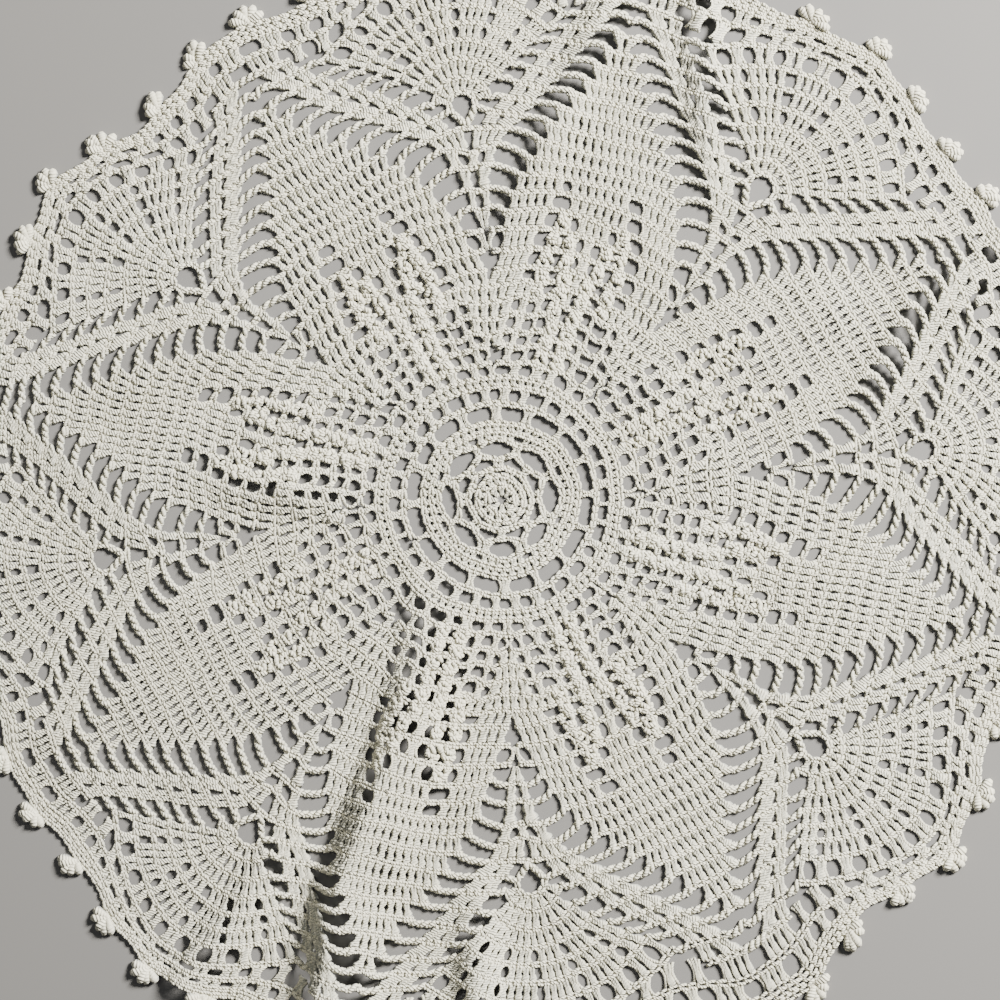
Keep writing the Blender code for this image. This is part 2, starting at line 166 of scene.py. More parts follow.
# ---- the uneven stretch: the CAD's rows for each fan's and each petal's axis -----
# the radii are as drawn, and the rows say where the same places really lie; turns are in degrees,
# and the edge dips in by dip between an axis and the next
CENTRE_RADIUS, CENTRE_TURN = 38.7, 3.0
FAN_RADII = (75.2, 128.0, 183.0)          # of a fan's apex, ring and edge
PETAL_RADII = (75.2, 153.6, 176.0)        # of a petal's eye, tip and edge
DIP_FROM, DIP_FULL = 138.0, 180.0         # the radius where a dip starts, and where it is full
FANS = (
    dict(inner_turn=6.4, turn=6.7, apex=82.8, ring=136.3, edge=188.0, dip=6.0),
    dict(inner_turn=2.6, turn=4.9, apex=78.4, ring=129.6, edge=185.0, dip=3.5),
    dict(inner_turn=3.1, turn=5.4, apex=75.8, ring=127.0, edge=180.8, dip=6.0),
    dict(inner_turn=7.8, turn=9.9, apex=74.7, ring=122.6, edge=174.5, dip=6.5),
    dict(inner_turn=8.2, turn=8.6, apex=80.8, ring=128.3, edge=181.0, dip=6.0),
    dict(inner_turn=6.2, turn=8.1, apex=81.0, ring=134.1, edge=187.0, dip=5.0),
    dict(inner_turn=2.9, turn=4.5, apex=75.3, ring=123.5, edge=178.0, dip=6.0),
    dict(inner_turn=6.0, turn=6.8, apex=75.4, ring=128.0, edge=183.0, dip=6.0),
)
PETALS = (
    dict(inner_turn=4.0, turn=6.3, eye=78.4, tip=157.4, edge=181.5, dip=3.5),
    dict(inner_turn=3.0, turn=7.2, eye=77.8, tip=154.6, edge=179.0, dip=6.0),
    dict(inner_turn=4.8, turn=8.8, eye=72.6, tip=146.9, edge=172.0, dip=9.0),
    dict(inner_turn=8.3, turn=10.8, eye=75.7, tip=153.0, edge=175.0, dip=6.0),
    dict(inner_turn=6.1, turn=8.4, eye=79.4, tip=154.4, edge=178.5, dip=5.0),
    dict(inner_turn=3.2, turn=6.1, eye=76.3, tip=157.8, edge=184.0, dip=6.0),
    dict(inner_turn=3.6, turn=7.2, eye=73.7, tip=151.4, edge=186.0, dip=8.5),
    dict(inner_turn=5.7, turn=8.2, eye=75.2, tip=154.1, edge=177.0, dip=6.0),
)

# ---- the folds: each a ridge along its points (x, y, height) ---------------------
FOLDS = (
    dict(left=24.0, right=11.0, line=((-23.0, -22.0, 0.0), (-25.5, -50.0, 4.0),
         (-35.5, -86.0, 7.5), (-50.0, -122.0, 9.0), (-62.0, -185.0, 9.5))),
    dict(left=12.0, right=10.0, line=((-6.0, -112.0, 0.0), (-7.5, -145.0, 4.0), (-7.0, -190.0, 6.0))),
    dict(left=11.0, right=10.0, line=((-62.0, -100.0, 0.0), (-80.0, -128.0, 4.0),
         (-112.0, -170.0, 5.0))),
    dict(left=10.0, right=13.0, line=((-40.0, -3.0, 0.0), (-68.0, 3.0, 2.6), (-100.0, 8.0, 0.0))),
    dict(left=10.0, right=11.0, line=((112.0, 30.0, 0.0), (134.0, 57.0, 3.6), (176.0, 92.0, 4.0))),
    dict(left=9.0, right=12.0, line=((-4.0, 78.0, 0.0), (14.0, 112.0, 2.6), (40.0, 170.0, 2.6))),
    dict(left=9.0, right=10.0, line=((68.0, 88.0, 0.0), (66.0, 125.0, 3.0), (62.0, 185.0, 3.0))),
)

# how far the rows wander in x, in y and upwards: (reach, length, angle) of each wave; the number
# of the angle also sets where the wave starts, so that no two waves start alike
UNEVEN = (((0.30, 23.0, 20), (0.25, 37.0, 115), (0.15, 11.0, 70)),
          ((0.30, 27.0, 100), (0.25, 41.0, 10), (0.15, 13.0, 150)),
          ((0.16, 31.0, 40), (0.12, 19.0, 130)))
SUNK = 0.25               # the strands are pressed this far onto the table

# ---- how a stitch's strands run --------------------------------------------------
# a post from its foot to its head: along, middle and half (its half width) are shares of its cell,
# height is in mm, and the groove between its two strands runs from -1, its left side, to 1
POST = dict(along=(0.09, 0.29, 0.50, 0.71, 0.91), middle=(0.47, 0.48, 0.50, 0.52, 0.53),
            half=(0.47, 0.53, 0.34, 0.53, 0.47), height=(0.75, 0.90, 0.90, 0.95, 0.85),
            groove=(-0.50, -0.30, 0.0, 0.30, 0.50))
# how high a post's sides, its two strands and its groove lie, in half widths
POST_SIDE, POST_STRAND, POST_GROOVE = -0.25j, 0.45j, -0.02j
# along is a share of the chain stitch's length, aside is in mm from its line; each stitch opens
# like a V over the point of the next one
CHAIN_STRANDS = (
    dict(along=(-0.16, 0.18, 0.58, 0.95), aside=(0.05, 0.38, 0.60, 0.55),
         height=(0.95, 1.15, 1.20, 0.90), radius=(0.85, 1.02, 1.05, 0.90)),
    dict(along=(-0.16, 0.18, 0.58, 0.95), aside=(-0.05, -0.38, -0.60, -0.55),
         height=(0.85, 1.05, 1.15, 0.85), radius=(0.85, 1.02, 1.05, 0.90)),
)
# a free chain lies edge on and shows as two strands turning round each other
CORD_STRANDS = (
    dict(along=(-0.10, 0.20, 0.50, 0.80, 1.10), aside=(-0.72, -0.55, 0.0, 0.55, 0.72),
         height=(0.85, 1.15, 1.35, 1.15, 0.85), radius=(0.65, 0.92, 1.0, 0.92, 0.65)),
    dict(along=(-0.10, 0.20, 0.50, 0.80, 1.10), aside=(0.72, 0.58, 0.0, -0.58, -0.72),
         height=(0.75, 0.70, 0.55, 0.70, 0.75), radius=(0.65, 0.92, 0.80, 0.92, 0.65)),
)
# the strand on each side of a hole: along is a share of the row, aside is in mm from the hole's
# side, and no point lies nearer the hole's middle than least
RIM = dict(along=(0.12, 0.30, 0.50, 0.70, 0.88), aside=(-0.45, 0.20, 0.50, 0.20, -0.45),
           height=(0.95, 0.85, 0.80, 0.85, 0.95), radius=(0.50, 0.58, 0.60, 0.58, 0.50), least=0.3)
# the outline of a strand cut across, as aside + i * up in shares of its radius
STRAND = (1 - 0.15j, 0.5 + 0.5j, -0.5 + 0.5j, -1 - 0.15j)
LOBE = (1 - 0.3j, 0.6 + 0.6j, -0.6 + 0.6j, -1 - 0.3j)
# the knots of a popcorn: aside is in mm, along is a share of half its row, turn is in radians
POPCORN_WIDTH = 4.3
KNOTS = dict(aside=(-1.3, 1.1, 0.1, -1.3, 1.3, 0.0, 0.2),
             along=(-0.60, -0.66, -0.20, 0.26, 0.10, 0.70, 0.35),
             turn=(0.5, -0.4, 1.3, -0.3, 0.6, 0.2, -1.2),
             height=(0.8, 0.85, 1.15, 0.95, 0.85, 0.8, 1.15))
# one knot from end to end, in mm: along it, how far it rises, and its radius
KNOT = dict(along=(-1.5, -0.75, 0.75, 1.5), rise=(-0.25, 0.0, 0.0, -0.25),
            radius=(0.506, 0.92, 0.92, 0.506))
# the loops of a picot, from its foot outwards: turns are in degrees, along is a share of length,
# and the foot lies so far outside the edge
PICOT = dict(turns=(-68, -34, 0, 34, 68), length=4.6, along=(-0.15, 0.25, 0.6, 0.9, 1.12),
             height=(0.8, 1.0, 1.4, 1.3, 0.9), radius=(0.8, 1.2, 1.6, 1.7, 0.9), foot=0.9)
# how much the stitches differ, as standard deviations: a post's along and middle are shares of its
# cell, half and radius are shares of themselves, turn is in radians, and the rest is in mm
POST_SPREAD = dict(along=0.02, middle=0.03, height=0.07, half=0.05)
CHAIN_SPREAD = dict(height=0.07, radius=0.06)
RIM_SPREAD = dict(place=0.12, height=0.07)
KNOT_SPREAD = dict(place=0.22, turn=0.35, height=0.15, radius=0.08)
PICOT_SPREAD = dict(degrees=4, length=0.2, height=0.12)

# ---- the cotton ------------------------------------------------------------------
# two tones in patches, multiplied by a darker, cooler painted shade where a strand lies low; depths
# are in metres
TONES = dict(low=0.3, dark=(0.845, 0.785, 0.575), high=0.7, pale=(0.935, 0.88, 0.67))
# painted shade on the low sides of each strand, and none on its crest
PAINTED_SHADE, UNSHADED_CREST = (0.37, 0.41, 0.47), (1.0, 1.0, 1.0)
COTTON_ROUGHNESS, SHEEN, SHEEN_ROUGHNESS = 0.86, 0.25, 0.6
PATCHES = dict(scale=22.0, detail=5.0)
FUZZ = dict(scale=1500.0, detail=4.0)
PLIES = dict(scale=1.0, distortion=0.8)
FUZZ_DEPTH, PLY_DEPTH, BUMP_STRENGTH = 0.00015, 0.00025, 0.9

# ---- the floor, the camera and the lights, in metres and watts -------------------
CAMERA_HEIGHT = 0.752
FRAME_WIDTH = 0.320        # how much of the floor the picture spans
PICTURE_MIDDLE = (-0.00386, -0.00158)
FLOOR_WIDTH, FLOOR_COLOUR, FLOOR_ROUGHNESS = 6.0, (0.17, 0.165, 0.155), 0.7
LAMPS = (
    dict(name="key", place=(1.0, 0.7, 0.8), size=0.4, power=122.0, colour=(1.0, 0.98, 0.95)),
    dict(name="fill", place=(-0.8, 0.5, 1.2), size=1.2, power=3.0, colour=(0.95, 0.97, 1.0)),
)
AIR_COLOUR, AIR_STRENGTH = (0.95, 0.97, 1.0), 0.1


# ---- the layout ------------------------------------------------------------------
def smooth(share):
    """0 to 1 with a level start and end."""
    share = np.clip(share, 0.0, 1.0)
    return share * share * (3 - 2 * share)


def turn_of(halves):
    """The turn to an axis, counted in half sectors from the first fan's axis."""
    return cmath.exp(1j * HALF_SECTOR * halves)


def band(name):
    """The lower and upper u of a round."""
    names = list(ROUND_U)
    at = names.index(name)
    low = (ROUND_U[names[at - 1]] + ROUND_U[name]) / 2 if at else CENTRE_EDGE
    return low, (ROUND_U[name] + ROUND_U[names[at + 1]]) / 2


def petal_half(u):
    """How far from a petal's axis its close rows end."""
    return np.interp(u, PETAL_EDGE["u"], PETAL_EDGE["half"])


def ladder_end(u):
    """How far from a petal's axis the ladder meets the trellis."""
    return petal_half(u) + np.interp(u, LADDER_WIDTH["u"], LADDER_WIDTH["width"])


def circle_share(u):
    """1 where a round is a circle about the middle, 0 where it runs straight across its petal."""
    return np.clip(1 - (u - CIRCLES_TO) / (STRAIGHT_FROM - CIRCLES_TO), 0, 1)


def valley(u):
    """The v at which a round meets the fan's axis."""
    share = circle_share(u)
    return u * (share * math.sin(HALF_SECTOR) + (1 - share) * math.tan(HALF_SECTOR))


def ladder_slope(u, v):
    """How far out a stitch is moved at a ladder that slopes."""
    half = petal_half(u)
    at = (half - SLOPE_WITHIN, half, ladder_end(u), valley(u))
    most = np.interp(u, LADDER_SLOPE["u"], LADDER_SLOPE["out"])
    return most * np.interp(abs(v), at, (0.0, -1.0, 1.0, 0.0))


def petal_point(u, v):
    """The point v across the round that crosses the petal's axis at u."""
    columns = smooth((u - COLUMNS_START["u"]) / COLUMNS_START["over"])
    columns = columns * (1 - smooth((u - COLUMNS_END["u"]) / COLUMNS_END["over"]))
    u = u + columns * np.interp(np.abs(v), COLUMNS["v"], COLUMNS["out"])
    sag = u - np.sqrt(np.maximum(u * u - v * v, 0))
    return u - circle_share(u) * sag + ladder_slope(u, v) + 1j * v


def stretched_axes():
    """For each fan's and each petal's axis: its row, the radii as drawn, and where they lie."""
    for fan, petal in zip(FANS, PETALS):
        yield fan, FAN_RADII, (fan["apex"], fan["ring"], fan["edge"])
        yield petal, PETAL_RADII, (petal["eye"], petal["tip"], petal["edge"])


def stretch(x, y):
    """Drawn points moved to where they lie in the real, uneven doily."""
    radius, angle = np.hypot(x, y), np.arctan2(y, x)
    moved, turns, dips = [], [], []
    for row, drawn, real in stretched_axes():
        knots = (0.0, CENTRE_RADIUS) + drawn + (2 * drawn[-1],)
        reached = (0.0, CENTRE_RADIUS) + real + (real[-1] + drawn[-1],)
        moved.append(np.interp(radius, knots, reached))
        inner = np.interp(radius, (CENTRE_RADIUS, drawn[0]), (CENTRE_TURN, row["inner_turn"]))
        outer = smooth((radius - drawn[0]) / (drawn[1] - drawn[0]))
        turns.append(inner + (row["turn"] - row["inner_turn"]) * outer)
        dips.append(row["dip"])
    moved, turns, dips = np.stack(moved), np.stack(turns), np.array(dips)
    place = angle / HALF_SECTOR
    before = np.floor(place).astype(int) % len(dips)
    after = (before + 1) % len(dips)
    share = smooth(place - np.floor(place))
    column = np.arange(len(radius))
    dip = dips[before] * np.sin(math.pi * (place - np.floor(place))) ** 2
    dip = dip * smooth((radius - DIP_FROM) / (DIP_FULL - DIP_FROM))
    radius = moved[before, column] * (1 - share) + moved[after, column] * share - dip
    angle = angle + np.radians(turns[before, column] * (1 - share) + turns[after, column] * share)
    return radius * np.cos(angle), radius * np.sin(angle)


def fold_height(x, y):
    """How far the folds lift the cloth off what it lies on."""
    height = np.zeros_like(x)
    for fold in FOLDS:
        nearest = np.full_like(x, np.inf)
        lift = np.zeros_like(x)
        for (x0, y0, z0), (x1, y1, z1) in zip(fold["line"], fold["line"][1:]):
            dx, dy = x1 - x0, y1 - y0
            length = math.hypot(dx, dy)
            along = np.clip(((x - x0) * dx + (y - y0) * dy) / length ** 2, 0, 1)
            away = np.hypot(x - x0 - along * dx, y - y0 - along * dy)
            on_left = dx * (y - y0) - dy * (x - x0) > 0
            width = np.where(on_left, fold["left"], fold["right"])
            top = z0 + (z1 - z0) * along
            here = top * smooth(1 - away / width)
            closer = away < nearest
            lift = np.where(closer, here, lift)
            nearest = np.where(closer, away, nearest)
        height = np.maximum(height, lift)
    return height


# ---- rows of stitches ------------------------------------------------------------
class Work:
    """The stitches of one sector, as drawn: the corners of posts, the ends of chain stitches,
    the points of rims, and the places of popcorns and picots."""

    def __init__(self, chance):
        self.chance = chance
        self.posts = []
        self.chains = []
        self.cords = []
        self.rims = []
        self.popcorns = []
        self.picots = []

    def post(self, at, low, high, top_low, top_high):
        """One post, from low to high at its foot and from top_low to top_high at its head."""
        self.posts.append((at(low, 0.0), at(high, 0.0), at(top_low, 1.0), at(top_high, 1.0)))

    def chain(self, steps):
        """One chain stitch from each point to the next."""
        self.chains += list(zip(steps, steps[1:]))

    def cord(self, start, end, arch=0.0):
        """A free chain between two points; arch says how far and which way its middle is moved."""
        count = max(1, round(abs(end - start) / CHAIN_PITCH))
        shares = [step / count for step in range(count + 1)]
        steps = [start + (end - start) * share + arch * math.sin(math.pi * share ** ARCH_SKEW)
                 for share in shares]
        self.cords += list(zip(steps, steps[1:]))

    def rim(self, at, middle, width):
        """A strand on each side of a hole, which rounds it off."""
        for side in (-1, 1):
            reach = [max(RIM["least"], width / 2 + aside) for aside in RIM["aside"]]
            self.rims.append([at(middle + side * out, share)
                              for out, share in zip(reach, RIM["along"])])

    def chain_row(self, at, low, high):
        """Chain stitches along a row's head."""
        count = max(1, round((high - low) / CHAIN_PITCH))
        self.chain([at(step, 1.0) for step in np.linspace(low, high, count + 1)])

    def post_row(self, at, low, high):
        """Posts side by side, each under a chain stitch."""
        count = round((high - low) / POST_PITCH)
        if count == 0 and high - low > LEAST_POST * POST_PITCH:
            count = 1
        steps = np.linspace(low, high, count + 1)
        for left, right in zip(steps, steps[1:]):
            self.post(at, left, right, left, right)
            self.chain([at(left, 1.0), at(right, 1.0)])

    def popcorn(self, at, middle):
        """A popcorn in its row: its middle, the way outwards and the height of the row."""
        foot, head = at(middle, 0.0), at(middle, 1.0)
        height = abs(head - foot)
        self.popcorns.append(((foot + head) / 2, (head - foot) / height, height))

    def uneven(self, holes):
        """Holes as the yarn leaves them: eased, and each a little off its place and width."""
        return [(middle + self.chance.normal(0, HOLE_WANDER),
                 (width + HOLE_EASE) * self.chance.normal(1, HOLE_SPREAD))
                for middle, width in holes]

    def row(self, at, start, end, holes=(), popcorns=()):
        """Posts from start to end wherever there is no hole or popcorn, under one chain."""
        holes = self.uneven(holes)
        breaks = [(middle - width / 2, middle + width / 2) for middle, width in holes]
        half = POPCORN_WIDTH / 2
        breaks += [(middle - half, middle + half) for middle in popcorns]
        here = start
        for low, high in sorted(breaks) + [(end, end)]:
            low = min(max(low, here), end)
            self.post_row(at, here, low)
            here = min(max(high, low), end)
            if here > low:
                self.chain_row(at, low, here)
        for middle, width in holes:
            if width > SLIT and start < middle - width / 2 and middle + width / 2 < end:
                self.rim(at, middle, width)
        for middle in popcorns:
            self.popcorn(at, middle)


def circle_row(middle, facing, low, high):
    """A row about a point; its places are in mm along the middle of the row."""
    mean = (low + high) / 2

    def at(place, share):
        return middle + facing * (low + (high - low) * share) * cmath.exp(1j * place / mean)
    return at


def wavy_row(facing, foot, head):
    """A row about the middle; foot and head are (radius, wave at the fans' axes)."""
    mean = (foot[0] + head[0]) / 2

    def at(place, share):
        angle = place / mean
        low, high = (radius + wave * math.cos(SECTORS * angle) for radius, wave in (foot, head))
        return facing * (low + (high - low) * share) * cmath.exp(1j * angle)
    return at


def petal_row(name, turn):
    """A round across a petal; its places are v. Posts near the sides lean with them."""
    low, high = band(name)
    mean = (low + high) / 2
    side = float(valley(mean)) if mean < PETAL_EDGE["u"][0] else float(petal_half(mean))
    if mean < PETAL_EDGE["u"][0]:
        slope = math.tan(HALF_SECTOR)
    else:
        slope = float(petal_half(high) - petal_half(low)) / (high - low)

    def at(v, share):
        near_side = min(1.0, abs(v) / max(side, NARROWEST)) ** LEAN_POWER
        lean = math.copysign(slope * near_side, v) * (share - 0.5) * (high - low)
        return complex(petal_point(low + (high - low) * share, v + lean)) * turn
    return at


def border_row(low, high, turn):
    """A row between two shares of the border; its places are in mm at the border's middle."""
    def at(place, share):
        angle = place / BORDER_MIDDLE
        inner = border_start(angle)
        level = low + (high - low) * share
        return (inner + (edge_radius(angle) - inner) * level) * cmath.exp(1j * angle) * turn
    return at


def edge_radius(angle):
    """The edge swings out at the fans, and dips between two picots."""
    swing = (1 + math.cos(SECTORS * angle)) / 2
    dip = PICOT_DIP * math.sin(PICOTS_PER_SECTOR * SECTORS * angle / 2) ** 2
    return EDGE_AT_PETAL + (EDGE_AT_FAN - EDGE_AT_PETAL) * swing - dip


def border_start(angle):
    """The outside of the fans' mesh row, and then of the petals' tips."""
    aside = RING["a"] * math.sin(angle)
    reach = max(0.0, MESH_ROW["high"] ** 2 - aside ** 2)
    return max(BORDER_FROM, RING["a"] * math.cos(angle) + math.sqrt(reach))


def both_sides(pairs):
    """Pairs of (distance, width) on both sides of an axis."""
    return list(pairs) + [(-at, width) for at, width in pairs if at]


# ---- the parts of the doily ------------------------------------------------------
def work_centre(work, sector):
    """The part of the middle's rounds from one petal's axis to the next."""
    foot, foot_wave = CENTRE_FOOT, 0.0
    for ring in CENTRE_ROUNDS:
        mean = (foot + ring["out"]) / 2
        half = HALF_SECTOR * mean
        holes = []
        if ring["count"]:
            step = 2 * half * SECTORS / ring["count"]
            counts = range(-CENTRE_HOLES_ASIDE, CENTRE_HOLES_ASIDE + 1)
            holes = [((count + ring["turn"]) * step, ring["width"]) for count in counts]
        at = wavy_row(turn_of(2 * sector), (foot, foot_wave), (ring["out"], ring["wave"]))
        work.row(at, -half, half, holes)
        foot, foot_wave = ring["out"], ring["wave"]


def work_petal(work, sector):
    """A petal with its ladders and trellises, and the tulip's rows below it."""
    turn = turn_of(2 * sector + 1)
    for name in PETAL_ROUNDS:
        mean = sum(band(name)) / 2
        side = float(valley(mean))
        holes = both_sides(PETAL_HOLES.get(name, ()))
        if name < LADDERS_FROM:
            holes += both_sides([(side - away, width)
                                 for away, width in VALLEY_HOLES.get(name, ())])
        else:
            side = min(side, float(petal_half(mean)))
        popcorns = [v * way for v in TULIP.get(name, ()) for way in (1, -1)]
        work.row(petal_row(name, turn), -side, side, holes, popcorns)
        if name >= LADDERS_FROM:
            for way in (1, -1):
                work_ladder(work, name, turn, way)
    high = band(LAST_ROUND)[1]
    far = float(ladder_end(high))
    work.cord(petal_point(high, -far) * turn, petal_point(high, far) * turn)
    for way in (1, -1):
        work_trellis(work, LAST_ROUND, turn, way)


def work_ladder(work, name, turn, way):
    """The chain from the petal to the trellis, and the trellis."""
    high = band(name)[1]
    near, far = float(petal_half(high)), float(ladder_end(high))
    work.cord(petal_point(high, near * way) * turn, petal_point(high, far * way) * turn,
              PETAL_ARCH * turn)
    work_trellis(work, name, turn, way)


def v_stitch(work, at, start, end):
    """Two posts on each side of a hole, all four drawn in at their feet."""
    middle, half, over = (start + end) / 2, V_STITCH["hole"] / 2, V_STITCH["overlap"]
    feet = np.linspace(start + V_STITCH["foot"], end - V_STITCH["foot"], 5)
    sides = (np.linspace(start - V_STITCH["lean"], middle - half, 3),
             np.linspace(middle + half, end, 3))
    for side, heads in enumerate(sides):
        for post in (0, 1):
            foot = 2 * side + post
            work.post(at, feet[foot] - over, feet[foot + 1] + over,
                      heads[post] - over, heads[post + 1] + over)
    work.chain([at(head, 1.0) for head in np.concatenate(sides)])


def work_trellis(work, name, turn, way):
    """The V stitches beyond the ladder, and where there is no fan yet the posts up to its axis."""
    low, high = band(name)
    mean = (low + high) / 2
    start, middle = float(ladder_end(mean)), float(valley(mean))
    free = name not in AXIS_DIPS
    foot_dip, head_dip = AXIS_DIPS.get(name, (0.0, 0.0))

    def at(v, share):
        """Places are measured out from the ladder, which slopes with the petal's side."""
        u = low + (high - low) * share
        inner, outer = float(ladder_end(u)), float(valley(u))
        reach = 1.0 if free else (outer - inner) / (middle - start)
        out = max(0.0, (v - start) / (middle - start)) ** DIP_POWER
        dip = (foot_dip + (head_dip - foot_dip) * share) * out
        return petal_point(u - dip, (inner + (v - start) * reach) * way) * turn

    holes = [(middle - away, width) for away, width in VALLEY_HOLES.get(name, ())]
    row_from = start
    if free or middle - start > TRELLIS_FILLED * TRELLIS_WIDTH:
        row_from = start + TRELLIS_WIDTH
        v_stitch(work, at, start, row_from)
    if not free:
        work.row(at, row_from, middle, holes)


def trellis_end(name, sector, way):
    """Where the trellis of a round ends beside a fan, at the round's head."""
    high = band(name)[1]
    v = -way * (float(ladder_end(high)) + TRELLIS_WIDTH)
    return petal_point(high, v) * turn_of(2 * sector + way)


def work_fan(work, sector):
    """A fan with the ring at its bottom, and the ladders at its sides."""
    turn = turn_of(2 * sector)
    ring = RING["a"] * turn
    shoulder = math.radians(RING["shoulder"]) * RING["radius"]
    at = circle_row(ring, turn, RING["radius"], RING["radius"])
    work.chain_row(at, -shoulder, shoulder)
    for way in (1, -1):
        work.cord(RING["bottom"] * turn, at(way * shoulder, 1.0))
        work.cord(trellis_end(RING["round"], sector, way), at(way * shoulder, 1.0))
    for row in FAN_ROWS:
        spoked = row["name"] in SPOKES["rows"]
        work_fan_row(work, turn, row, SPOKES["angles"] if spoked else (), SPOKES["width"])
    counts = range(MESH_ROW["count"])
    angles = [(count - (MESH_ROW["count"] - 1) / 2) * MESH_ROW["step"] for count in counts]
    work_fan_row(work, turn, MESH_ROW, angles, MESH_ROW["width"])
    for row in FAN_ROWS + (MESH_ROW,):
        work_fan_ladder(work, row, sector)


def work_fan_row(work, turn, row, angles, width):
    """One row of a fan, with a hole of this width at each of the angles."""
    at = circle_row(RING["a"] * turn, turn, row["low"], row["high"])
    mean = (row["low"] + row["high"]) / 2
    half = math.radians(row["half"]) * mean
    work.row(at, -half, half, [(math.radians(angle) * mean, width) for angle in angles])


def work_fan_ladder(work, row, sector):
    """The chains that join each end of a fan's row to the trellis of the same round."""
    for way in (1, -1):
        angle = math.radians(row["half"]) * way
        fan_end = (RING["a"] + row["high"] * cmath.exp(1j * angle)) * turn_of(2 * sector)
        arch = FAN_ARCH * turn_of(2 * sector + way)
        work.cord(trellis_end(row["name"], sector, way), fan_end, arch)


def work_border(work, sector):
    """The rows and the chains along the edge."""
    turn = turn_of(2 * sector)
    half = HALF_SECTOR * BORDER_MIDDLE
    for row in BORDER_ROWS:
        at = border_row(row["low"], row["high"], turn)
        holes = both_sides([(math.radians(angle) * BORDER_MIDDLE, width)
                            for angle, width in row["holes"]])
        work.row(at, -half, half, holes)
    for share in EDGE_CHAINS:
        work.chain_row(border_row(share, share, turn), -half, half)


def work_picots(work, sector):
    """Picots round the edge."""
    step = 2 * HALF_SECTOR / PICOTS_PER_SECTOR
    for count in range(PICOTS_PER_SECTOR):
        angle = (count - (PICOTS_PER_SECTOR - 1) / 2) * step
        out = cmath.exp(1j * angle) * turn_of(2 * sector)
        work.picots.append(((edge_radius(angle) + PICOT["foot"]) * out, out))


# ---- from stitches to strands of yarn --------------------------------------------
def post_bodies(work, chance):
    """(points, heights, radii) of all posts, each post a row."""
    corners = np.array(work.posts)[:, :, None]
    count, knots = len(corners), len(POST["along"])
    along = np.array(POST["along"]) + chance.normal(0, POST_SPREAD["along"], (count, 1))
    left = corners[:, 0] + (corners[:, 2] - corners[:, 0]) * along
    right = corners[:, 1] + (corners[:, 3] - corners[:, 1]) * along
    middle = np.array(POST["middle"]) + chance.normal(0, POST_SPREAD["middle"], (count, knots))
    height = np.array(POST["height"]) + chance.normal(0, POST_SPREAD["height"], (count, knots))
    half = np.array(POST["half"]) * chance.normal(1, POST_SPREAD["half"], (count, 1))
    return left + (right - left) * middle, height, np.abs(right - left) * half


def post_outlines():
    """A post cut across at each of its knots, with a strand on each side of its groove."""
    groove = np.array(POST["groove"])[:, None]
    edge = np.ones_like(groove)
    right, left = (groove + 1) / 2 + POST_STRAND, (groove - 1) / 2 + POST_STRAND
    return np.concatenate((edge + POST_SIDE, right, groove + POST_GROOVE, left,
                           -edge + POST_SIDE), axis=1)


def chain_strands(ends, template, yarn, chance):
    """(points, heights, radii) of the strands of chain stitches, from the ends of each stitch."""
    ends = np.array(ends)[:, :, None]
    span = ends[:, 1] - ends[:, 0]
    aside = 1j * span / np.abs(span)
    each = (len(ends), 1)
    found = []
    for strand in template:
        points = ends[:, 0] + span * np.array(strand["along"]) + aside * np.array(strand["aside"])
        height = np.array(strand["height"]) + chance.normal(0, CHAIN_SPREAD["height"], each)
        radius = yarn * np.array(strand["radius"]) * chance.normal(1, CHAIN_SPREAD["radius"], each)
        found.append((points, height, radius))
    return [np.concatenate(part) for part in zip(*found)]


def rim_strands(work, chance):
    """(points, heights, radii) of the strands beside the holes."""
    each = (len(work.rims), 1)
    points = np.array(work.rims) + chance.normal(0, RIM_SPREAD["place"], each)
    height = np.array(RIM["height"]) + chance.normal(0, RIM_SPREAD["height"], each)
    return points, height, np.broadcast_to(RIM["radius"], points.shape)


def popcorn_strands(work, chance):
    """Each popcorn is a tuft of short fat knots, some of them askew."""
    aside, along = np.array(KNOTS["aside"]), np.array(KNOTS["along"])
    count = len(aside)
    points, heights, radii = [], [], []
    for middle, out, height in work.popcorns:
        spread = chance.normal(0, KNOT_SPREAD["place"], (count, 2)) @ (1, 1j)
        spots = middle + out * (along / 2 * height - 1j * aside) + out * spread
        turns = np.array(KNOTS["turn"]) + chance.normal(0, KNOT_SPREAD["turn"], count)
        ways = out * np.exp(1j * turns)
        points.append(spots[:, None] + ways[:, None] * np.array(KNOT["along"]))
        tops = np.array(KNOTS["height"]) + chance.normal(0, KNOT_SPREAD["height"], count)
        heights.append(tops[:, None] + np.array(KNOT["rise"]))
        radii.append(chance.normal(1, KNOT_SPREAD["radius"], (count, 1)) * KNOT["radius"])
    return [np.concatenate(part) for part in (points, heights, radii)]


def picot_strands(work, chance):
    """Each picot is a shell: fat loops that spread from one foot and end in round bumps."""
    points, heights, radii = [], [], []
    for foot, out in work.picots:
        for degrees in PICOT["turns"]:
            angle = degrees + chance.normal(0, PICOT_SPREAD["degrees"])
            turn = cmath.exp(1j * math.radians(angle))
            length = PICOT["length"] + chance.normal(0, PICOT_SPREAD["length"])
            points.append(foot + out * turn * np.array(PICOT["along"]) * length)
            rise = chance.normal(0, PICOT_SPREAD["height"])
            heights.append(np.array(PICOT["height"]) + rise)
            radii.append(np.array(PICOT["radius"]))
    return np.array(points), np.array(heights), np.array(radii)


def unevenness(x, y):
    """How far hand work wanders in x, y and up, in mm: sums of waves, (reach, length, angle)."""
    drifts = []
    for waves in UNEVEN:
        drift = np.zeros_like(x)
        for reach, length, degrees in waves:
            angle = math.radians(degrees)
            along = x * math.cos(angle) + y * math.sin(angle)
            drift = drift + reach * np.sin(2 * math.pi * along / length + degrees)
        drifts.append(drift)
    return drifts


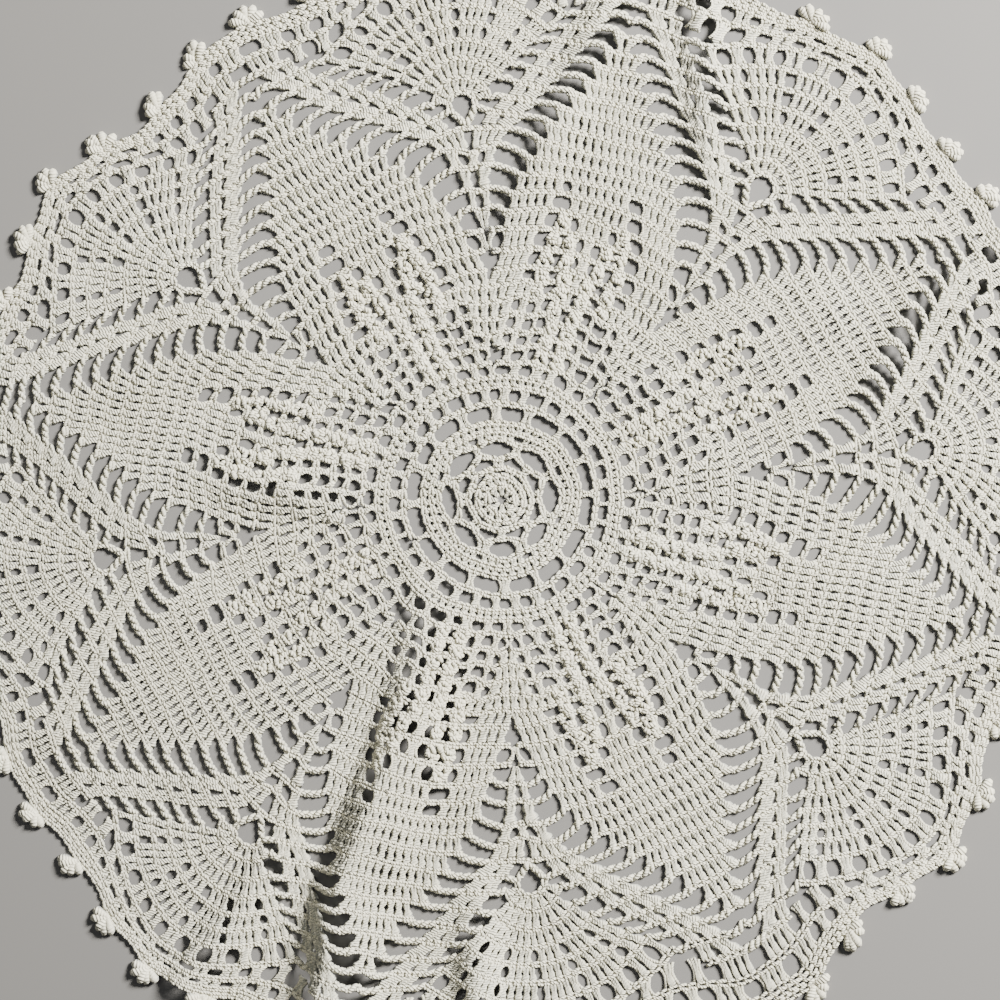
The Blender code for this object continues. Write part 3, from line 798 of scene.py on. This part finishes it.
def laid_out(points, heights):
    """Strands in mm in the CAD's frame, stretched and laid over the folds."""
    x, y = stretch(points.real.ravel(), points.imag.ravel())
    aside, onwards, up = unevenness(x, y)
    x, y = x + aside, y + onwards
    lift = fold_height(x, y) + up - SUNK
    z = np.broadcast_to(heights, points.shape).ravel() + lift
    placed = np.stack((x + DRAWN_MIDDLE[0], y + DRAWN_MIDDLE[1], z), axis=-1)
    return placed.reshape(points.shape + (3,))


def slope_across(path, aside):
    """How fast the folds rise to the side of each point of a path."""
    beside, behind = (
        fold_height((path + way * aside)[..., 0] - DRAWN_MIDDLE[0],
                    (path + way * aside)[..., 1] - DRAWN_MIDDLE[1]) for way in (1, -1))
    return (beside - behind) / 2


def tubes(path, radius, outline):
    """The vertices and wall quads of tubes along many paths at once. The outline is one for all
    knots, or one for each."""
    count, knots = path.shape[:2]
    outline = np.array(outline)
    ahead = np.gradient(path, axis=1)
    aside = np.cross(ahead, (0.0, 0.0, 1.0))
    aside /= np.linalg.norm(aside, axis=2, keepdims=True)
    aside[..., 2] = slope_across(path, aside)
    upwards = np.cross(aside, ahead)
    upwards /= np.linalg.norm(upwards, axis=2, keepdims=True)
    spoke = (aside[:, :, None] * outline.real[..., None]
             + upwards[:, :, None] * outline.imag[..., None])
    verts = path[:, :, None] + spoke * radius[:, :, None, None]
    sides = outline.shape[-1]
    ring = np.arange(sides)
    first = (np.arange(count)[:, None, None] * knots + np.arange(knots - 1)[:, None]) * sides
    here, beside = first + ring, first + (ring + 1) % sides
    walls = np.stack((here, here + sides, beside + sides, beside), axis=-1)
    return verts.reshape(-1, 3), walls.reshape(-1, 4)


def caps(count, knots, sides):
    """The two flat ends of each tube."""
    starts = np.arange(count)[:, None] * knots * sides
    ring = np.arange(sides)
    return np.concatenate((starts + ring, starts + (knots - 1) * sides + ring[::-1]))


def strand_meshes(batches):
    """All strands as vertices, the vertex of each corner, the first corner of each face, and two
    uv places for each corner."""
    verts, corners, starts, twists, reliefs = [], [], [], [], []
    first_vert, first_corner = 0, 0
    for (flat_points, heights, radii), outline in batches:
        path = laid_out(flat_points, heights)
        count, knots = flat_points.shape
        sides = np.shape(outline)[-1]
        points, walls = tubes(path, np.broadcast_to(radii, flat_points.shape), outline)
        points[:, 2] = np.maximum(points[:, 2], 0.0)
        ends = caps(count, knots, sides)
        verts.append(points)
        corners += [walls.ravel() + first_vert, ends.ravel() + first_vert]
        starts += [first_corner + 4 * np.arange(len(walls)),
                   first_corner + 4 * len(walls) + sides * np.arange(len(ends))]
        twists.append(twist_of(path, sides))
        reliefs.append(relief_of(outline, count, knots))
        first_vert += len(points)
        first_corner += 4 * len(walls) + sides * len(ends)
    return [np.concatenate(part) for part in (verts, corners, starts, twists, reliefs)]


def yarn_piece(name, batches, material):
    """One piece from batches of (points, heights, radii) and the outline of their strands."""
    verts, corners, starts, twists, reliefs = strand_meshes(batches)
    mesh = bpy.data.meshes.new(name)
    mesh.vertices.add(len(verts))
    mesh.vertices.foreach_set("co", (verts * MM).ravel())
    mesh.loops.add(len(corners))
    mesh.loops.foreach_set("vertex_index", corners)
    mesh.polygons.add(len(starts))
    mesh.polygons.foreach_set("loop_start", starts)
    mesh.polygons.foreach_set("use_smooth", np.ones(len(starts), bool))
    mesh.uv_layers.new(name="yarn").data.foreach_set("uv", twists.ravel())
    # the relief uv says where the cotton gets painted shade
    mesh.uv_layers.new(name="relief").data.foreach_set("uv", reliefs.ravel())
    mesh.update(calc_edges=True)
    mesh.validate()
    mesh.materials.append(material)
    piece = bpy.data.objects.new(name, mesh)
    bpy.context.scene.collection.objects.link(piece)
    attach(piece, "root")
    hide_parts("doily")
    return piece


def twist_of(path, sides):
    """For each corner: how far round the strand and how many twists along it."""
    count = len(path)
    steps = np.linalg.norm(np.diff(path, axis=1), axis=2)
    twists = np.concatenate((np.zeros((count, 1)), np.cumsum(steps, axis=1)), axis=1) / PLY_PITCH
    low = np.repeat(twists[:, :-1, None], sides, axis=2)
    high = np.repeat(twists[:, 1:, None], sides, axis=2)
    left = np.broadcast_to(np.arange(sides) / sides, low.shape)
    right = left + 1 / sides
    walls = np.stack((left, low, left, high, right, high, right, low), axis=-1).reshape(-1, 2)
    ends = np.zeros((2 * count * sides, 2))
    return np.concatenate((walls, ends))


def relief_of(outline, count, knots):
    """For each corner: how high it lies on its strand, from 0 to 1, which sets the painted shade."""
    up = np.broadcast_to(np.imag(outline), (knots, np.shape(outline)[-1]))
    up = (up - up.min()) / (up.max() - up.min())
    low, high = up[:-1], up[1:]
    walls = np.stack((low, high, np.roll(high, -1, 1), np.roll(low, -1, 1)), axis=-1)
    heights = np.concatenate((np.tile(walls.ravel(), count), np.tile(up[0], 2 * count)))
    return np.stack((heights, heights), axis=-1)


# ---- materials -------------------------------------------------------------------
def add_noise(nodes, scale, detail):
    """A noise texture."""
    noise = nodes.new("ShaderNodeTexNoise")
    noise.inputs["Scale"].default_value = scale
    noise.inputs["Detail"].default_value = detail
    return noise


def add_ramp(nodes, low, low_colour, high, high_colour):
    """A ramp from one colour at low to another at high."""
    ramp = nodes.new("ShaderNodeValToRGB")
    for stop, place, colour in zip(ramp.color_ramp.elements, (low, high),
                                   (low_colour, high_colour)):
        stop.position = place
        stop.color = colour + (1,)
    return ramp


def add_bump(nodes, links, height, distance):
    """A bump of this depth from a height."""
    bump = nodes.new("ShaderNodeBump")
    bump.inputs["Strength"].default_value = BUMP_STRENGTH
    bump.inputs["Distance"].default_value = distance
    links.new(height, bump.inputs["Height"])
    return bump


def cotton_colour(nodes, links, place):
    """Patches of two tones, with painted shade where a strand lies low."""
    patches = add_noise(nodes, **PATCHES)
    tone = add_ramp(nodes, TONES["low"], TONES["dark"], TONES["high"], TONES["pale"])
    links.new(place.outputs["Object"], patches.inputs["Vector"])
    links.new(patches.outputs["Fac"], tone.inputs["Fac"])
    # painted shade: darker and cooler towards the low sides of each strand
    relief = nodes.new("ShaderNodeUVMap")
    relief.uv_map = "relief"
    hollow_shade = add_ramp(nodes, 0.0, PAINTED_SHADE, 1.0, UNSHADED_CREST)
    links.new(relief.outputs["UV"], hollow_shade.inputs["Fac"])
    shade = nodes.new("ShaderNodeMix")
    shade.data_type = "RGBA"
    shade.blend_type = "MULTIPLY"
    shade.inputs["Factor"].default_value = 1.0
    links.new(tone.outputs["Color"], shade.inputs["A"])
    links.new(hollow_shade.outputs["Color"], shade.inputs["B"])
    return shade.outputs["Result"]


def cotton_bump(nodes, links, place):
    """Fuzz, and the twisted plies of each strand."""
    fuzz = add_noise(nodes, **FUZZ)
    links.new(place.outputs["Object"], fuzz.inputs["Vector"])
    plies = nodes.new("ShaderNodeTexWave")
    plies.wave_type = "BANDS"
    plies.bands_direction = "DIAGONAL"
    plies.inputs["Scale"].default_value = PLIES["scale"]
    plies.inputs["Distortion"].default_value = PLIES["distortion"]
    links.new(place.outputs["UV"], plies.inputs["Vector"])
    fuzzy = add_bump(nodes, links, fuzz.outputs["Fac"], FUZZ_DEPTH)
    twisted = add_bump(nodes, links, plies.outputs["Fac"], PLY_DEPTH)
    links.new(fuzzy.outputs["Normal"], twisted.inputs["Normal"])
    return twisted.outputs["Normal"]


def cotton():
    """Off-white cotton yarn with a soft sheen and painted shade on its low sides."""
    material = bpy.data.materials.new("ecru cotton")
    material.use_nodes = True
    nodes, links = material.node_tree.nodes, material.node_tree.links
    shader = nodes["Principled BSDF"]
    shader.inputs["Roughness"].default_value = COTTON_ROUGHNESS
    shader.inputs["Sheen Weight"].default_value = SHEEN
    shader.inputs["Sheen Roughness"].default_value = SHEEN_ROUGHNESS
    place = nodes.new("ShaderNodeTexCoord")
    links.new(cotton_colour(nodes, links, place), shader.inputs["Base Color"])
    links.new(cotton_bump(nodes, links, place), shader.inputs["Normal"])
    return material


def plain(name, colour, roughness):
    """A material of one colour, for the stage."""
    material = bpy.data.materials.new(name)
    material.use_nodes = True
    shader = material.node_tree.nodes["Principled BSDF"]
    shader.inputs["Base Color"].default_value = colour + (1,)
    shader.inputs["Roughness"].default_value = roughness
    return material


# ---- the pieces ------------------------------------------------------------------
def make_doily(material):
    """The eight sectors of lace, each with its popcorns and picots."""
    chance = np.random.default_rng(SEED)
    for sector in range(SECTORS):
        work = Work(chance)
        work_centre(work, sector)
        work_petal(work, sector)
        work_fan(work, sector)
        work_border(work, sector)
        work_picots(work, sector)
        lace = yarn_piece(f"lace_sector_{sector + 1}", (
            (post_bodies(work, chance), post_outlines()), (rim_strands(work, chance), STRAND),
            (chain_strands(work.chains, CHAIN_STRANDS, CHAIN_YARN, chance), STRAND),
            (chain_strands(work.cords, CORD_STRANDS, CORD_YARN, chance), STRAND)), material)
        popcorns = yarn_piece(f"popcorns_{sector + 1}", (
            (popcorn_strands(work, chance), LOBE), (picot_strands(work, chance), LOBE)), material)


def make_stage():
    """A plain floor."""
    bpy.ops.mesh.primitive_plane_add(size=FLOOR_WIDTH, location=(0, 0, 0))
    floor = bpy.context.object
    floor.name = "floor"
    floor.data.materials.append(plain("floor", FLOOR_COLOUR, FLOOR_ROUGHNESS))


def make_light(name, place, size, power, colour):
    """A soft square light that faces the doily."""
    lamp = bpy.data.lights.new(name, "AREA")
    lamp.size = size
    lamp.energy = power
    lamp.color = colour
    light = bpy.data.objects.new(name, lamp)
    light.location = place
    light.rotation_euler = (-light.location).to_track_quat("-Z", "Y").to_euler()
    bpy.context.scene.collection.objects.link(light)


def make_camera():
    """A camera straight above the middle of the picture, looking down."""
    data = bpy.data.cameras.new("camera")
    data.angle = 2 * math.atan(FRAME_WIDTH / 2 / CAMERA_HEIGHT)
    camera = bpy.data.objects.new("camera", data)
    camera.location = PICTURE_MIDDLE + (CAMERA_HEIGHT,)
    bpy.context.scene.collection.objects.link(camera)
    bpy.context.scene.camera = camera


def make_air():
    """A faint even light from all around."""
    world = bpy.data.worlds.new("air")
    world.use_nodes = True
    air = world.node_tree.nodes["Background"]
    air.inputs["Color"].default_value = AIR_COLOUR + (1,)
    air.inputs["Strength"].default_value = AIR_STRENGTH
    bpy.context.scene.world = world


make_doily(cotton())
make_stage()
for row in LAMPS:
    make_light(**row)
make_air()
make_camera()
